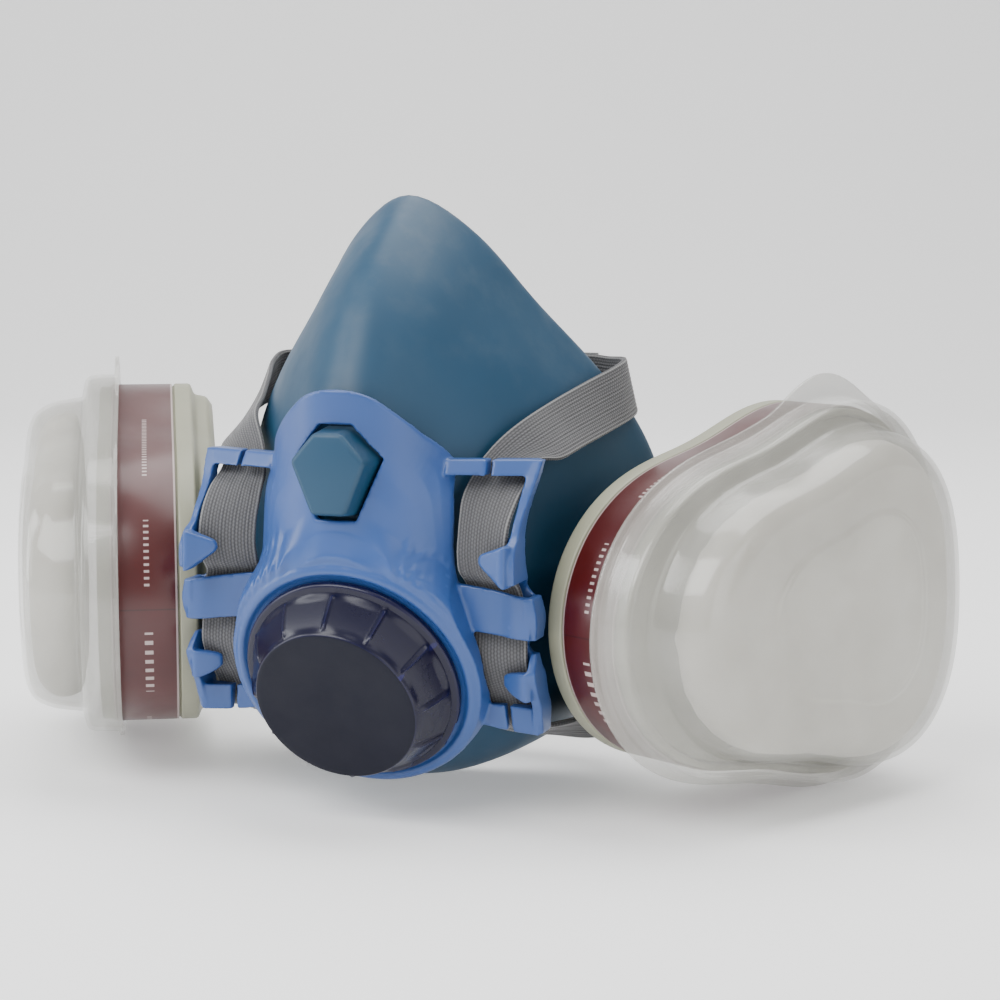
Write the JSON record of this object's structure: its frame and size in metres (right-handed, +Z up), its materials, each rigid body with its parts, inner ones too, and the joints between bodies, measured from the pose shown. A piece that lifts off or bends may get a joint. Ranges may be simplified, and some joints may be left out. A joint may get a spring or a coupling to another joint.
{
  "type": "half mask respirator",
  "caption": "Half mask respirator: soft silicone facepiece, rigid front yoke with exhalation valve, cheek filter cartridges with clear pad retainers, and elastic straps.",
  "frame": {"origin": "on the plane of symmetry, level with the lowest point, midway between front and back", "axes": "+Z up, the mask faces -Y, +X is the wearer's left"},
  "size_m": [0.2408, 0.117, 0.1369],
  "materials": {
    "teal_silicone": "satin moulded silicone",
    "blue_nylon": "satin moulded nylon",
    "navy_plastic": "polished moulding",
    "dark_plastic": "moulded, satin",
    "flap_silicone": "thin clear silicone",
    "port_plastic": "moulded, satin",
    "gasket_rubber": "matt rubber",
    "sage_plastic": "satin, slightly translucent",
    "brown_label": "printed paper band",
    "fibre_screen": "thin non-woven felt",
    "carbon_granules": "packed activated carbon granules",
    "clear_retainer": "milky clear moulding",
    "particulate_felt": "needled filter felt",
    "grey_elastic": "woven elastic webbing",
    "clip_plastic": "moulded, satin"
  },
  "bodies": {
    "mask": {"facepiece": "teal_silicone", "yoke": "blue_nylon", "exhalation_seat": "dark_plastic", "bayonet_port_left": "port_plastic", "bayonet_port_right": "port_plastic", "port_gasket_left": "gasket_rubber", "port_gasket_right": "gasket_rubber", "strap_left": "grey_elastic", "strap_right": "grey_elastic", "head_cradle": "clip_plastic", "neck_clasp_socket": "clip_plastic"},
    "exhalation_cover": {"exhalation_cover": "navy_plastic"},
    "exhalation_flap": {"exhalation_flap": "flap_silicone"},
    "neck_clasp_plug": {"neck_clasp_plug": "clip_plastic"},
    "inhalation_flap_left": {"inhalation_flap_left": "flap_silicone"},
    "cartridge_left": {"cartridge_housing_left": "sage_plastic", "cartridge_label_left": "brown_label", "inner_screen_left": "fibre_screen", "carbon_bed_left": "carbon_granules", "outer_screen_left": "fibre_screen", "cartridge_lid_left": "sage_plastic"},
    "retainer_left": {"filter_retainer_left": "clear_retainer", "particulate_pad_left": "particulate_felt"},
    "inhalation_flap_right": {"inhalation_flap_right": "flap_silicone"},
    "cartridge_right": {"cartridge_housing_right": "sage_plastic", "cartridge_label_right": "brown_label", "inner_screen_right": "fibre_screen", "carbon_bed_right": "carbon_granules", "outer_screen_right": "fibre_screen", "cartridge_lid_right": "sage_plastic"},
    "retainer_right": {"filter_retainer_right": "clear_retainer", "particulate_pad_right": "particulate_felt"}
  },
  "joints": [
    {"name": "exhalation_cover_twist", "type": "hinge", "parent": "mask", "child": "exhalation_cover", "pos_m": [0, -0.04035, 0.03232], "axis": [0, -0.9205, -0.3907], "range_deg": [0, 30]},
    {"name": "exhalation_flap_lift", "type": "slide", "parent": "mask", "child": "exhalation_flap", "axis": [0, -0.9205, -0.3907], "range_m": [0, 0.0012]},
    {"name": "inhalation_flap_left_lift", "type": "slide", "parent": "mask", "child": "inhalation_flap_left", "axis": [-0.8829, 0.4695, 0], "range_m": [0, 0.0012]},
    {"name": "cartridge_left_twist", "type": "hinge", "parent": "mask", "child": "cartridge_left", "pos_m": [0.05417, 0.00222, 0.04443], "axis": [0.8829, -0.4695, 0], "range_deg": [0, 40]},
    {"name": "retainer_left_pull", "type": "slide", "parent": "cartridge_left", "child": "retainer_left", "axis": [0.8829, -0.4695, 0], "range_m": [0, 0.015]},
    {"name": "inhalation_flap_right_lift", "type": "slide", "parent": "mask", "child": "inhalation_flap_right", "axis": [0.8829, 0.4695, 0], "range_m": [0, 0.0012]},
    {"name": "cartridge_right_twist", "type": "hinge", "parent": "mask", "child": "cartridge_right", "pos_m": [-0.05417, 0.00222, 0.04443], "axis": [-0.8829, -0.4695, 0], "range_deg": [0, 40]},
    {"name": "retainer_right_pull", "type": "slide", "parent": "cartridge_right", "child": "retainer_right", "axis": [-0.8829, -0.4695, 0], "range_m": [0, 0.015]},
    {"name": "neck_clasp_release", "type": "slide", "parent": "mask", "child": "neck_clasp_plug", "axis": [1, 0, 0], "range_m": [0, 0.012], "deforming": ["strap_left"]}
  ]
}
